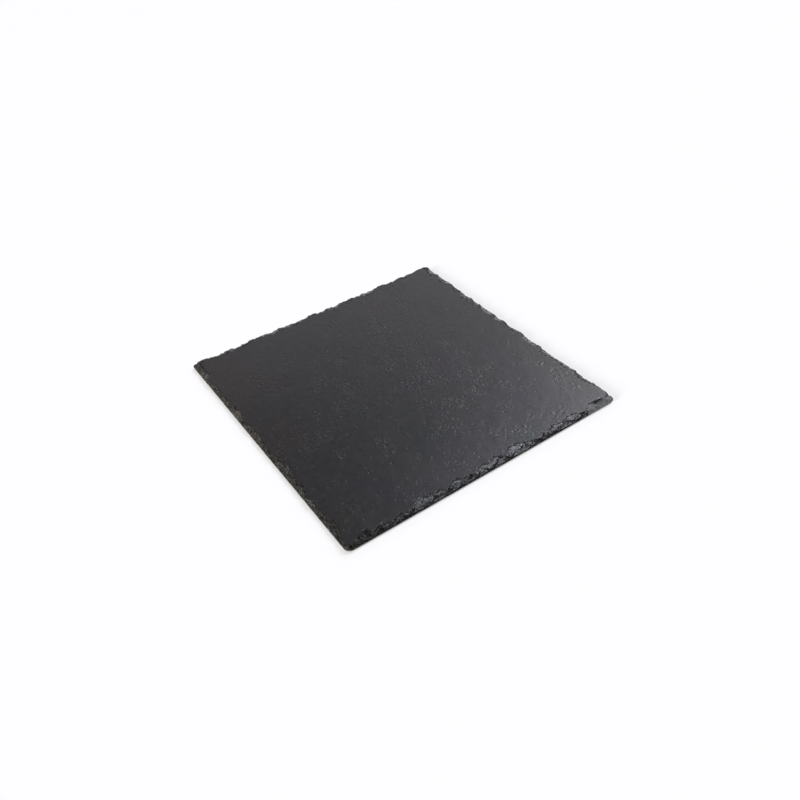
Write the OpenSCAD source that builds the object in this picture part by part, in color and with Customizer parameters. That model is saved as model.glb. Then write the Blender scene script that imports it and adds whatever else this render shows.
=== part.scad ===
// Square slate serving board with a dressed, flaked edge, on four stick-on rubber feet.
// The origin is on the table under the board's centre, with +Z up, +X right and +Y to the back.

/* [Slate] */
// Width of the board along X
board_width = 300; // [240:5:400]
// Depth of the board along Y
board_depth = 300; // [240:5:400]
// Thickness of the slate
slate_thickness = 5; // [4:0.25:8]
// Radius of the front left corner, seen from above
front_left_radius = 5.5; // [3:0.5:9]
// Radius of the front right corner, seen from above
front_right_radius = 3; // [3:0.5:9]
// Radius of the back right corner, seen from above
back_right_radius = 5; // [3:0.5:9]
// Radius of the back left corner, seen from above
back_left_radius = 3; // [3:0.5:9]

/* [Dressed edge] */
// Depth of a large flake scar from the edge, measured on the top face
scar_depth = 7; // [4:0.5:10]
// Half the length of a common flake scar along the edge
scar_half_length = 9; // [6:0.5:12]
// Height of the sheared wall that is left under the scars
sheared_height = 1.2; // [0.8:0.1:2]
// Depth of the nicks that break up the rim of each ledge
nick_depth = 1.8; // [0.6:0.1:2.4]
// Usual length of a nick along the edge
nick_length = 8; // [6:0.5:12]
// Depth of the small flakes that make each ledge ragged
flake_depth = 0.7; // [0.3:0.1:1]
// Usual length of a small flake along the edge
flake_length = 3.6; // [3:0.1:6]
// Strip along the edge that the shallowest scar still takes off the top face
edge_margin = 0.5; // [0.3:0.1:1]
// How far each broken ledge leans inwards as it rises
ledge_lean = 0.3; // [0.2:0.05:0.6]
// How far a ledge rises from its outer lip to its foot
ledge_rise = 0.2; // [0.1:0.05:0.3]
// Size of the spalls along the underside's edge
underside_spall = 0.4; // [0.2:0.1:0.6]
// Cross-sections that each straight side is lofted through
sections_per_side = 130; // [90:1:136]
// Cross-sections that each corner is lofted through
sections_per_corner = 5; // [4:1:8]

/* [Feet] */
// Diameter of a rubber foot
foot_diameter = 14; // [8:1:24]
// Height of a rubber foot
foot_height = 1.3; // [1:0.1:4]
// Radius round the foot's lower rim
foot_rim_radius = 0.5; // [0.2:0.1:0.9]
// Distance from the board's sides to a foot's axis
foot_inset = 30; // [20:1:60]
// Diameter of the adhesive disc that bonds a foot to the slate
adhesive_diameter = 13; // [7:1:24]
// Thickness of the adhesive disc
adhesive_thickness = 0.2; // [0.1:0.05:0.5]

/* [Hidden] */
$fn = 64;

slab_bottom = foot_height + adhesive_thickness;
// The corner at the end of each side, in the order front, right, back, left.
corner_radii = [front_right_radius, back_right_radius, back_left_radius, front_left_radius];

// The outline is four straight sides, each followed by the corner at its end: front, right, back, left.
side_lengths = [
    for (side = [0:3])
        (side % 2 == 0 ? board_width : board_depth) - corner_radii[(side + 3) % 4] - corner_radii[side]
];
side_starts = [for (side = [0:3]) side_start(side)];
rim_length = side_start(4);
nick_count = round(rim_length / nick_length);
flake_count = round(rim_length / flake_length);

// The large flake scars of each side as [place, length, depth, hollow]: the scar's middle as a share of
// that side, its half length and depth as shares of scar_half_length and scar_depth, and how hollow it is,
// from 0 to 1.
front_scar_shares = [
    [0.035, 0.9, 0.62, 0.4], [0.10, 1.0, 0.36, 0.2], [0.165, 0.8, 0.24, 0.3], [0.235, 1.2, 0.80, 0.3],
    [0.295, 0.8, 0.52, 0.6], [0.355, 0.9, 0.78, 0.3], [0.415, 0.8, 0.60, 0.7], [0.475, 1.1, 0.66, 0.2],
    [0.535, 0.9, 0.82, 0.4], [0.615, 1.3, 0.94, 0.3], [0.73, 0.9, 0.10, 0.2], [0.80, 1.2, 0.68, 0.5],
    [0.86, 1.0, 0.64, 0.3], [0.955, 1.95, 1.15, 1.0]
];
right_scar_shares = [
    [0.125, 1.4, 0.42, 0.4], [0.23, 1.2, 0.36, 0.3], [0.29, 1.4, 0.56, 0.5], [0.385, 1.3, 0.46, 0.3],
    [0.495, 1.1, 0.40, 0.6], [0.565, 0.8, 0.48, 0.4], [0.635, 1.2, 0.46, 0.3], [0.695, 0.8, 0.48, 0.5],
    [0.765, 1.1, 0.54, 0.3], [0.82, 0.8, 0.42, 0.2], [0.91, 1.3, 0.40, 0.4], [0.97, 1.0, 0.56, 0.3]
];
back_scar_shares = [
    [0.08, 1.2, 0.38, 0.3], [0.165, 1.2, 0.40, 0.4], [0.26, 1.3, 0.46, 0.2], [0.325, 0.8, 0.42, 0.5],
    [0.37, 0.6, 0.30, 0.3], [0.415, 1.0, 0.60, 0.4], [0.485, 0.9, 0.48, 0.6], [0.575, 1.6, 0.56, 0.3],
    [0.64, 0.7, 0.34, 0.2], [0.69, 0.9, 0.50, 0.4], [0.735, 0.7, 0.36, 0.3], [0.82, 1.4, 0.54, 0.5],
    [0.875, 0.7, 0.40, 0.2], [0.92, 1.1, 0.58, 0.4]
];
left_scar_shares = [
    [0.02, 1.3, 0.78, 0.4], [0.08, 0.8, 0.66, 0.3], [0.175, 1.0, 0.40, 0.5], [0.225, 0.9, 0.22, 0.2],
    [0.28, 0.9, 0.42, 0.4], [0.345, 1.1, 0.68, 0.3], [0.43, 0.7, 0.66, 0.6], [0.475, 1.1, 0.60, 0.2],
    [0.52, 0.9, 0.50, 0.4], [0.585, 0.8, 0.60, 0.3], [0.665, 1.5, 0.94, 0.5], [0.73, 1.2, 0.64, 0.3],
    [0.815, 0.8, 0.28, 0.2], [0.87, 1.4, 0.50, 0.4], [0.95, 0.9, 0.86, 0.6]
];
scars = [
    for (side = [0:3])
        for (scar = [front_scar_shares, right_scar_shares, back_scar_shares, left_scar_shares][side])
            [
                side_starts[side] + scar[0] * side_lengths[side],
                scar[1] * scar_half_length, scar[2] * scar_depth, scar[3]
            ]
];
deepest_scar = max([for (scar = scars) scar[2]]);
// The flat middle of the top face starts this far in, clear of every scar, nick and flake.
edge_band = edge_margin + deepest_scar + nick_depth + flake_depth + 3 * ledge_lean + max(corner_radii);

// The slate splits in layers, so each scar steps down over three ledges. These say how far in each ledge's
// foot lies and how high its lip stands, as shares of the scar's depth and of the height above the wall.
ledge_reach_shares = [0.34, 0.68, 1];
ledge_height_shares = [0, 0.34, 0.68];
ledge_reach_spread_share = 0.34;
ledge_shift_share = 0.4;
ledge_height_spread_share = 0.22;
// In a hollow scar the lowest tread runs nearly to the back, a little higher than elsewhere,
// under a tall riser.
hollow_reach_share = 0.9;
hollow_height_share = 0.3;
// How far a scar's deepest point may lie off its middle, and how square the scar's plan is.
scar_skew_share = 0.5;
scar_squareness = 0.6;
// How unevenly nicks and flakes are spaced.
cell_jitter_share = 0.6;

// Evenly spread values from 0 to 1, one for each whole number and kind.
function scatter(number, kind) =
    let (turn = sin(number * 127.1 + kind * 311.7 + 17.3) * 43758.5453)
    turn - floor(turn);

// Where a cell of a row of uneven cells starts.
function cell_start(number, kind, count) =
    number + cell_jitter_share * (scatter((number + count) % count, kind) - 0.5);

// A row of arcs that meet in cusps, one to a cell: 0 at a cusp and up to 1 in between.
function arcs(place, kind, count) =
    let (
        low = floor(place),
        before = place < cell_start(low, kind, count),
        after = place >= cell_start(low + 1, kind, count),
        number = before ? low - 1 : after ? low + 1 : low,
        from = cell_start(number, kind, count),
        share = (place - from) / (cell_start(number + 1, kind, count) - from)
    )
    scatter((number + count) % count, kind + 1) * sqrt(max(0, 4 * share * (1 - share)));

// Values from 0 to 1 joined by a smooth curve, for any place between whole numbers.
function drift(place, kind, count) =
    let (
        low = floor(place),
        part = place - low,
        blend = part * part * (3 - 2 * part),
        from = scatter(low % count, kind),
        to = scatter((low + 1) % count, kind)
    )
    from + (to - from) * blend;

function corner_length(side) = PI / 2 * corner_radii[side];

function side_start(side) =
    side == 0 ? 0 : side_start(side - 1) + side_lengths[side - 1] + corner_length(side - 1);

// Sections: [side, share of its straight run, share of its corner, distance along the rim].
sections = [
    for (side = [0:3])
        each concat(
            [for (i = [0:sections_per_side - 1]) let (share = i / sections_per_side)
                [side, share, 0, side_starts[side] + share * side_lengths[side]]],
            [for (i = [0:sections_per_corner - 1]) let (share = i / sections_per_corner)
                [side, 1, share, side_starts[side] + side_lengths[side] + share * corner_length(side)]]
        )
];
section_count = len(sections);

// The point of a section on the outline drawn in by inset. The corner radii stay, and their centres
// move in.
function rim_point(section, inset) =
    let (
        side = section[0],
        radius = corner_radii[side],
        half_width = (side % 2 == 0 ? board_width : board_depth) / 2 - inset,
        half_depth = (side % 2 == 0 ? board_depth : board_width) / 2 - inset,
        run_start = corner_radii[(side + 3) % 4] - half_width,
        run_end = half_width - radius,
        turn = 90 * section[2],
        along = run_start + (run_end - run_start) * section[1] + radius * sin(turn),
        out = half_depth - radius * (1 - cos(turn)),
        facing = 90 * side
    )
    [along * cos(facing) + out * sin(facing), along * sin(facing) - out * cos(facing)];

// Distance along the rim from one place to another, the short way round.
function rim_gap(from, to) = let (gap = to - from) gap - rim_length * round(gap / rim_length);

// How far one scar's ledge reaches in at a place on the rim: a bowed bite, deepest a little off its middle.
function bite(place, number, ledge) =
    let (
        scar = scars[number],
        middle = scar[0] + ledge_shift_share * (scatter(number, ledge) - 0.5) * scar[1],
        u = rim_gap(middle, place) / scar[1],
        skewed = u + scar_skew_share * (scatter(number, 9) - 0.5) * (1 - u * u),
        spread = ledge < 2 ? ledge_reach_spread_share * (scatter(number, ledge + 5) - 0.5) : 0,
        stepped = ledge_reach_shares[ledge] + spread,
        hollow = ledge < 2 ? scar[3] * scar[3] : 0,
        reach = stepped + (hollow_reach_share - stepped) * hollow
    )
    abs(u) >= 1 ? 0 : scar[2] * reach * pow(1 - skewed * skewed, scar_squareness);

// How hollow the scars are at a place on the rim, from 0 to 1.
function hollow_at(place) =
    max([
        for (scar = scars)
            let (u = rim_gap(scar[0], place) / scar[1])
            scar[3] * scar[3] * max(0, 1 - u * u)
    ]);

// Where each ledge's foot lies at a place on the rim: the deepest bite there, with nicks and small flakes.
function ledge_reach(place, ledge) =
    let (
        bites = [for (number = [0:len(scars) - 1]) bite(place, number, ledge)],
        nick = nick_depth * arcs(place / rim_length * nick_count, 2 * ledge + 10, nick_count),
        flake = flake_depth * arcs(place / rim_length * flake_count, 2 * ledge + 20, flake_count)
    )
    edge_margin + max(bites) + (nick + flake) * (ledge + 1) / 3;

// How high a ledge's lip stands at a place on the rim, on the slate's own height.
function ledge_height(place, ledge) =
    let (
        wander = drift(place / rim_length * nick_count, ledge + 30, nick_count) - 0.5,
        stepped = ledge_height_shares[ledge] + ledge_height_spread_share * wander,
        hollow = ledge == 0 ? hollow_at(place) : 0,
        above_wall = slate_thickness - sheared_height
    )
    sheared_height + above_wall * (stepped + (hollow_height_share - stepped) * hollow);

// One cross-section of the edge as [inset, height] steps, from the underside up to the flat top.
function edge_profile(place) =
    let (
        spall = underside_spall * drift(place / rim_length * flake_count, 40, flake_count),
        reach0 = ledge_reach(place, 0),
        reach1 = max(ledge_reach(place, 1), reach0 + ledge_lean * 1.5),
        reach2 = max(ledge_reach(place, 2), reach1 + ledge_lean * 1.5),
        height0 = ledge_height(place, 0),
        height1 = max(ledge_height(place, 1), height0 + ledge_rise),
        height2 = ledge_height(place, 2)
    )
    [
        [spall + underside_spall / 2, 0],
        [spall / 4, underside_spall],
        [spall / 2 + ledge_lean / 2, height0],
        [reach0, height0 + ledge_rise],
        [reach0 + ledge_lean, height1],
        [reach1, height1 + ledge_rise],
        [reach1 + ledge_lean, height2],
        [reach2, height2 + ledge_rise],
        [reach2 + ledge_lean, slate_thickness],
        [edge_band, slate_thickness]
    ];

module slate_slab() {
    profiles = [for (section = sections) edge_profile(section[3])];
    ring_count = len(profiles[0]);
    points = concat(
        [for (ring = [0:ring_count - 1]) for (i = [0:section_count - 1])
            let (inset = profiles[i][ring][0], height = profiles[i][ring][1])
            concat(rim_point(sections[i], inset), [slab_bottom + height])],
        [[0, 0, slab_bottom], [0, 0, slab_bottom + slate_thickness]]
    );
    under_centre = ring_count * section_count;
    top_centre = under_centre + 1;
    top_ring = (ring_count - 1) * section_count;
    faces = concat(
        [for (ring = [0:ring_count - 2]) for (i = [0:section_count - 1])
            let (low = ring * section_count, high = low + section_count, next = (i + 1) % section_count)
            each [[low + i, high + i, high + next], [low + i, high + next, low + next]]],
        [for (i = [0:section_count - 1]) [under_centre, i, (i + 1) % section_count]],
        [for (i = [0:section_count - 1]) [top_centre, top_ring + (i + 1) % section_count, top_ring + i]]
    );
    color("#35363a") polyhedron(points = points, faces = faces, convexity = 4);
}

// Puts a child at one foot's place. Left and front are -1, right and back are 1.
module at_foot(right, back) {
    translate([right * (board_width / 2 - foot_inset), back * (board_depth / 2 - foot_inset), 0])
        children();
}

// A low rubber disc with a rounded lower rim.
module foot() {
    color("#17181a") rotate_extrude() union() {
        translate([0, foot_rim_radius]) square([foot_diameter / 2, foot_height - foot_rim_radius]);
        square([foot_diameter / 2 - foot_rim_radius, foot_height]);
        translate([foot_diameter / 2 - foot_rim_radius, foot_rim_radius]) circle(r = foot_rim_radius);
    }
}

// The adhesive film between a foot and the slate.
module adhesive_disc() {
    color("#c9c6bd") translate([0, 0, foot_height]) cylinder(d = adhesive_diameter, h = adhesive_thickness);
}

slate_slab();
at_foot(-1, -1) foot();  // foot_front_left
at_foot(1, -1) foot();  // foot_front_right
at_foot(-1, 1) foot();  // foot_back_left
at_foot(1, 1) foot();  // foot_back_right
at_foot(-1, -1) adhesive_disc();  // adhesive_front_left
at_foot(1, -1) adhesive_disc();  // adhesive_front_right
at_foot(-1, 1) adhesive_disc();  // adhesive_back_left
at_foot(1, 1) adhesive_disc();  // adhesive_back_right
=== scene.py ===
import math
import bpy
import numpy as np
from mathutils import Matrix, Vector


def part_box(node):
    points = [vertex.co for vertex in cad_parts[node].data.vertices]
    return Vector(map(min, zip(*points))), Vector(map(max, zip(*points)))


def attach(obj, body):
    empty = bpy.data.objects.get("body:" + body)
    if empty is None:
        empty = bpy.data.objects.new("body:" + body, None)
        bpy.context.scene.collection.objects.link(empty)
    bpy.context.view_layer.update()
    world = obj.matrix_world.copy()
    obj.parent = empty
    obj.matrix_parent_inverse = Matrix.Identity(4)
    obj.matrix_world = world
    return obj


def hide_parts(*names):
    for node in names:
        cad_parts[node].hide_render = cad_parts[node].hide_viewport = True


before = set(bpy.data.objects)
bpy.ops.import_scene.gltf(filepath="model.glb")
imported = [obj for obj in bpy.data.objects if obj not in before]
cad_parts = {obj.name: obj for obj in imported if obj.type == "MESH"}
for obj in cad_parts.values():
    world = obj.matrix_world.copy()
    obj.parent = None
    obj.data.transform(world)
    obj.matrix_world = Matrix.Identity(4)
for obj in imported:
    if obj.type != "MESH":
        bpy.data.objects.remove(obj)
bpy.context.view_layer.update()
print("frame loaded")

mm = 0.001  # every length below is in millimetres until it goes into a mesh or a light


# The camera, solved from the board's four sides in the photograph
cameraView = {
    "place": (-325.57, -511.57, 510.79),
    "azimuth": -32.879,
    "elevation": 41.245,
    "roll": -3.275,
    "lens": 35.906,
    "sensor": 36.0,  # of a square picture
    "farthest": 100.0,  # in metres
}


# Formula: azimuth and elevation give the line from the board back to the camera, and roll turns the
# picture's level line about it
def addCamera(view):
    azimuth, elevation, roll = (math.radians(view[key]) for key in ("azimuth", "elevation", "roll"))
    back = Vector((math.sin(azimuth) * math.cos(elevation), -math.cos(azimuth) * math.cos(elevation),
                   math.sin(elevation)))
    level = Vector((math.cos(azimuth), math.sin(azimuth), 0))
    upright = back.cross(level)
    right = level * math.cos(roll) + upright * math.sin(roll)
    up = back.cross(right)
    data = bpy.data.cameras.new("photoCamera")
    data.lens = view["lens"]
    data.sensor_width = view["sensor"]
    data.clip_end = view["farthest"]
    camera = bpy.data.objects.new("photoCamera", data)
    bpy.context.scene.collection.objects.link(camera)
    turn = Matrix((right, up, back)).transposed().to_4x4()
    camera.matrix_world = Matrix.Translation(Vector(view["place"]) * mm) @ turn
    bpy.context.scene.camera = camera


addCamera(cameraView)
print("camera placed")


# The slate. Lengths in mm. The scars round the rim are the solid's, each broken down through the layers.
slabLow, slabHigh = (np.array(corner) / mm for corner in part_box("slate_slab"))
slab = {
    "size": slabHigh - slabLow,
    "bottom": slabLow[2],
    "cornerRadii": (2.5, 5.0, 1.6, 5.5),  # front right, back right, back left, front left
    "stations": 1600,  # points round the rim, a multiple of 32
    "wallRows": 4,
    "bandRows": 27,
    "edgeBand": 14.5,  # from here inwards the top face is a square grid
    "squaredFrom": 9.0,  # from here inwards the rim's rows turn into that grid's outline
    "profileStep": 0.07,
    "rowWeights": (0.35, 0.65, 1.6),  # how closely rows lie on a whole face, more on a break, and on a rise
    "fullBreak": 0.1,  # the drop that counts as one there
    "rowBlend": 3,  # stations either way that share out their rows
    "cornerBlend": 6.0,  # from a side's end, where its values begin to turn into the next side's
    "reliefRamp": (0.6, 1.0),  # shares of the height between which the split face's relief sets in
    "brokenRamp": (0.02, 0.14),  # drops between which the broken stone's finish sets in
    "wallFoot": (3.0, 0.2),  # insets of the underside's first row and, beyond the spall, of its edge
    "underRings": (5.0, 7.5),
    "underBand": 10.0,
    "footClearance": (1.0, 14.0),  # how far outside the adhesive the underside's relief begins and is full
    "levelUpright": (0.4, 0.8),  # how upright a normal is between steep and level ground
    "steep": (0.5, 0.3),  # a wall's normal rises less, and its corners are broken more
    "sharpAngle": 38.0,
}
full = slab["size"][2]
rimBreak = {
    "scarDepth": 7.0,
    "scarHalfLength": 9.0,
    "shearedHeight": 1.2,
    "lowestShare": 0.7,  # of the sheared height, below which nothing is chipped
    "scarStart": (0.42, 0.3),  # how far up a scar starts, and how much lower where it is hollow
    "scarPower": (1.15, 6.0),  # how suddenly it climbs, and how much more so where it is hollow
    "pocketDepth": 3.6,
    "pocketHalfLength": 5.0,
    "pocketStart": 0.8,  # share of the sheared height
    "pocketPower": 0.8,
    "nicks": (  # length, depth, share of the rim's height, kind
        (17.0, 2.3, 0.26, 10), (7.5, 1.5, 0.34, 50), (3.4, 0.8, 0.55, 20)),
    "nickSideShares": (1.0, 0.5, 0.6, 0.9),  # how deep they are on the front, right, back and left
    "nickRise": 0.35,
    "nickPower": 1.2,
    "edgeMargin": 0.4,
    "skew": 0.5,
    "squareness": 0.6,
    "hollowSquareness": 0.34,  # how much blunter a hollow scar's far half is
    "leastDrop": 0.1,  # of a scar's start below the face
    "leastBow": 0.05,
    "bowl": (0.2, 3.0, 0.27, 0.45),  # of a fully hollow scar: crack, depth below it, middle and half length
    "deepDrop": 0.8,  # a tread that starts this far down is the bowl's
    "bowlSmooth": (0.95, 0.78, 0.9),  # how smooth the bowl is, and the shares of its width where that ends
    "bowlCalm": 0.8,  # how much less chips shift its outline
    "wanderAlong": (1.3, 5.2, 301),  # how the scars wander along the rim: reach, size and seed
    "wanderIn": (0.9, 3.4, 311),  # and inwards
    "chipShift": (1.5, 2.3, 403),  # how chips shift the scars' outline: reach, size and seed
    "raggedInsets": (0.1, 2.0),  # insets between which the outline grows ragged
    "cellJitter": 0.6,
    "brokenDrop": (0.03, 0.6),  # drops between which stone counts as broken
    "chips": ((4.2, 0.75, 401), (2.3, 0.55, 402)),  # size, height and seed of the facets on broken stone
    "leastBreak": 0.05,
    "layers": ((0.62, 0.6), (0.3, 0.4)),  # thickness of a layer, and how flat its tread is
    "riser": (0.66, 0.92),  # where a layer's step rises, as shares of its thickness
    "flakeLength": 3.6,
    "undersideSpall": 0.4,
    "wallRelief": (0.3, 2.1, 0.5),  # depth, size along the rim and size upwards
    "edgeLean": (0.12, 0.2, 1.9, 1.5),  # of the upper edge: least, chance more, its size and where it ends
    "slant": 1.37,  # x + slant * y is a measure along the rim that no two sides share
    "wallBlend": 6,  # stations either way that share out how chipped the wall is
}
thinFlakes = {
    "reach": (1.8, 3.0, 2.6, 0.0),  # how far past its scar a flake goes, on the front, right, back and left
    "chanceReach": 2.4,
    "thickness": 0.25,
    "chanceThickness": 0.5,
    "width": 1.25,
    "hollowWidth": 0.25,  # how much less wide it is beside a hollow scar
    "power": 3.0,
}
sideNames = ("front", "right", "back", "left")
# Scars as (place along the side, half length, depth, hollowness), in shares of the side, scarHalfLength and
# scarDepth
scarShares = {
    "front": (
        (0.035, 0.9, 0.62, 0.4), (0.10, 1.0, 0.36, 0.2), (0.165, 0.8, 0.24, 0.3), (0.235, 1.2, 0.80, 0.3),
        (0.295, 0.8, 0.52, 0.6), (0.355, 0.9, 0.78, 0.3), (0.415, 0.8, 0.60, 0.7), (0.475, 1.1, 0.66, 0.2),
        (0.535, 0.9, 0.82, 0.4), (0.615, 1.3, 0.94, 0.3), (0.73, 0.9, 0.10, 0.2), (0.80, 1.2, 0.68, 0.5),
        (0.86, 1.0, 0.64, 0.3), (0.955, 1.95, 1.15, 1.0)),
    "right": (
        (0.125, 1.4, 0.42, 0.4), (0.23, 1.2, 0.36, 0.3), (0.29, 1.4, 0.56, 0.5), (0.385, 1.3, 0.46, 0.3),
        (0.495, 1.1, 0.40, 0.6), (0.565, 0.8, 0.48, 0.4), (0.635, 1.2, 0.46, 0.3), (0.695, 0.8, 0.48, 0.5),
        (0.765, 1.1, 0.54, 0.3), (0.82, 0.8, 0.42, 0.2), (0.91, 1.3, 0.40, 0.4), (0.97, 1.0, 0.56, 0.3)),
    "back": (
        (0.08, 1.2, 0.38, 0.3), (0.165, 1.2, 0.40, 0.4), (0.26, 1.3, 0.46, 0.2), (0.325, 0.8, 0.42, 0.5),
        (0.37, 0.6, 0.30, 0.3), (0.415, 1.0, 0.60, 0.4), (0.485, 0.9, 0.48, 0.6), (0.575, 1.6, 0.56, 0.3),
        (0.64, 0.7, 0.34, 0.2), (0.69, 0.9, 0.50, 0.4), (0.735, 0.7, 0.36, 0.3), (0.82, 1.4, 0.54, 0.5),
        (0.875, 0.7, 0.40, 0.2), (0.92, 1.1, 0.58, 0.4)),
    "left": (
        (0.02, 1.3, 0.78, 0.4), (0.08, 0.8, 0.66, 0.3), (0.175, 1.0, 0.40, 0.5), (0.225, 0.9, 0.22, 0.2),
        (0.28, 0.9, 0.42, 0.4), (0.345, 1.1, 0.68, 0.3), (0.43, 0.7, 0.66, 0.6), (0.475, 1.1, 0.60, 0.2),
        (0.52, 0.9, 0.50, 0.4), (0.585, 0.8, 0.60, 0.3), (0.665, 1.5, 0.94, 0.5), (0.73, 1.2, 0.64, 0.3),
        (0.815, 0.8, 0.28, 0.2), (0.87, 1.4, 0.50, 0.4), (0.95, 0.9, 0.86, 0.6)),
}
# Pockets, where the edge is broken steeply nearly to its foot, as (place along the side, half length, depth)
pocketShares = {
    "front": (
        (0.025, 0.9, 1.2), (0.095, 1.0, 1.3), (0.16, 0.8, 1.2), (0.205, 0.7, 0.5), (0.25, 0.5, 0.5),
        (0.39, 1.0, 1.3), (0.425, 0.6, 0.8), (0.485, 0.5, 0.7), (0.555, 0.6, 0.8), (0.67, 1.4, 0.9),
        (0.73, 1.8, 1.0), (0.78, 0.8, 0.5), (0.815, 0.7, 0.8), (0.872, 1.8, 1.0)),
    "right": (
        (0.125, 1.6, 0.7), (0.23, 1.3, 0.6), (0.29, 1.8, 0.8), (0.385, 1.6, 0.7), (0.495, 1.2, 0.6),
        (0.565, 1.0, 0.8), (0.635, 1.5, 0.7), (0.695, 1.0, 0.7), (0.765, 1.3, 0.8), (0.82, 0.9, 0.7),
        (0.91, 1.6, 0.7), (0.97, 1.3, 0.8)),
    "back": (
        (0.08, 1.3, 0.7), (0.165, 1.2, 0.7), (0.26, 1.5, 0.8), (0.325, 1.0, 0.8), (0.415, 1.4, 1.1),
        (0.485, 1.1, 0.9), (0.575, 1.8, 1.1), (0.64, 0.7, 0.6), (0.69, 1.1, 0.9), (0.735, 0.7, 0.5),
        (0.82, 1.8, 1.0), (0.875, 0.7, 0.7), (0.92, 1.2, 1.1)),
    "left": (
        (0.05, 0.7, 0.7), (0.13, 0.6, 0.6), (0.25, 0.7, 0.7), (0.39, 0.6, 0.6), (0.45, 0.5, 0.8),
        (0.55, 0.7, 0.6), (0.625, 0.6, 0.7), (0.70, 0.5, 0.6), (0.77, 0.8, 0.8), (0.91, 0.6, 0.7)),
}
# How pale the fresh stone is along each side, as (place along the side, share). Along the right and back
# sides, which face the light, the extra paleness is painted light.
paleAndLitShares = {
    "front": (
        (0.0, 0.18), (0.09, 0.36), (0.13, 0.7), (0.19, 0.6), (0.24, 0.68), (0.32, 0.68), (0.45, 0.8),
        (0.55, 0.92), (0.62, 1.15), (0.75, 1.1), (0.82, 1.2), (0.9, 1.2), (0.99, 1.2)),
    "right": (
        (0.0, 1.3), (0.3, 1.2), (0.7, 1.3), (1.0, 1.2)),
    "back": (
        (0.0, 1.1), (0.5, 1.2), (1.0, 0.9)),
    "left": (
        (0.0, 0.7), (0.1, 1.25), (0.3, 1.35), (0.4, 1.2), (0.6, 0.8), (0.72, 0.6), (0.82, 0.95),
        (0.92, 0.5)),
}
riven = {
    "grainAngle": 58.0,
    "broad": 0.10,  # slow swells of the split face
    "broadSize": (85, 70),
    "ripple": 0.035,
    "rippleSize": (22, 13),
    "plateStep": 0.07,  # height of one cleaved layer
    "plateCount": 3.0,
    "plateSize": (60, 42),
    "plateFlat": 0.6,  # share of each plate that is flat
    "scale": 0.036,  # scattered small scales and dents
    "scaleSize": 4.2,
    "scaleStretch": 1.15,  # along the grain
    "scaleHeight": 3.4,
    "scaleLimit": 0.36,
    "patchSize": 30,
    "patchEdge": (-0.05, 0.35),
    "outsidePatches": 0.1,  # height of the scales between their patches
    "clearance": 0.04,  # lifts the whole relief until its highest swell meets the plane
    "seed": 11,
    "underSeed": 511,
}


# Formula: the fraction left over from a steep sine of the whole number and the kind
def scatter(number, kind):
    turn = np.sin(np.radians(number * 127.1 + kind * 311.7 + 17.3)) * 43758.5453
    return turn - np.floor(turn)


# Formula: a cell starts at its whole number, moved either way by a chance share of the jitter
def cellStart(number, kind, count):
    return number + rimBreak["cellJitter"] * (scatter(number % count, kind) - 0.5)


# Formula: inside each uneven cell a half ellipse over the cell's width, times the cell's own chance height
def arcs(place, kind, count):
    low = np.floor(place)
    number = np.where(place < cellStart(low, kind, count), low - 1,
                      np.where(place >= cellStart(low + 1, kind, count), low + 1, low))
    start = cellStart(number, kind, count)
    share = (place - start) / (cellStart(number + 1, kind, count) - start)
    return scatter(number % count, kind + 1) * np.sqrt(np.clip(4 * share * (1 - share), 0, None))


# Formula: chance values at whole numbers, joined by 3s^2 - 2s^3
def drift(place, kind, count):
    low = np.floor(place)
    part = place - low
    blend = part * part * (3 - 2 * part)
    start = scatter(low % count, kind)
    return start + (scatter((low + 1) % count, kind) - start) * blend


# Formula: chance values on a square lattice, joined across each cell by 6s^5 - 15s^4 + 10s^3, from -1 to 1
def latticeNoise(u, v, seed):
    table = np.random.default_rng(seed).random((256, 256)) * 2 - 1
    cellU, cellV = np.floor(u).astype(int), np.floor(v).astype(int)
    partU, partV = u - cellU, v - cellV
    blendU = partU ** 3 * (partU * (partU * 6 - 15) + 10)
    blendV = partV ** 3 * (partV * (partV * 6 - 15) + 10)
    u0, u1, v0, v1 = cellU & 255, (cellU + 1) & 255, cellV & 255, (cellV + 1) & 255
    low = table[u0, v0] + (table[u1, v0] - table[u0, v0]) * blendU
    high = table[u0, v1] + (table[u1, v1] - table[u0, v1]) * blendU
    return low + (high - low) * blendV


# Formula: the sum of octaves, each turned, at half the size and half the height of the one before
def cloud(u, v, seed, octaves):
    total = np.zeros(np.broadcast(u, v).shape)
    for octave in range(octaves):
        total = total + latticeNoise(u + 7.3 * octave, v, seed + octave) / 2 ** octave
        u, v = 1.6 * u - 1.2 * v, 1.2 * u + 1.6 * v
    return total / 1.5


# Formula: each point belongs to its nearest centre on an uneven lattice, and each centre's chip is a plane
# with its own chance height and tilt, so that the surface is made of facets, from about -1 to 1
def chipFacets(x, y, size, seed):
    table = np.random.default_rng(seed).random((5, 256, 256))
    u, v = x / size, y / size
    cellU, cellV = np.floor(u).astype(int), np.floor(v).astype(int)
    nearest, facets = np.full(u.shape, 9.0), np.zeros(u.shape)
    for stepU in (-1, 0, 1):
        for stepV in (-1, 0, 1):
            nextU, nextV = cellU + stepU, cellV + stepV
            startU, startV, height, tiltU, tiltV = table[:, nextU & 255, nextV & 255] - 0.5
            gapU, gapV = u - nextU - 0.5 - startU, v - nextV - 0.5 - startV
            away = gapU ** 2 + gapV ** 2
            facets = np.where(away < nearest, height + 1.3 * (tiltU * gapU + tiltV * gapV), facets)
            nearest = np.minimum(nearest, away)
    return facets


# Formula: 3s^2 - 2s^3, where s is the share of the way from low to high, kept between 0 and 1
def smoothStep(low, high, value):
    share = np.clip((value - low) / (high - low), 0, 1)
    return share * share * (3 - 2 * share)


# Formula: the part of a noise beyond a limit either way, so that bumps and dents stand apart on flat ground
def scattered(noise, limit):
    return np.sign(noise) * np.clip(np.abs(noise) - limit, 0, None)


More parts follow.
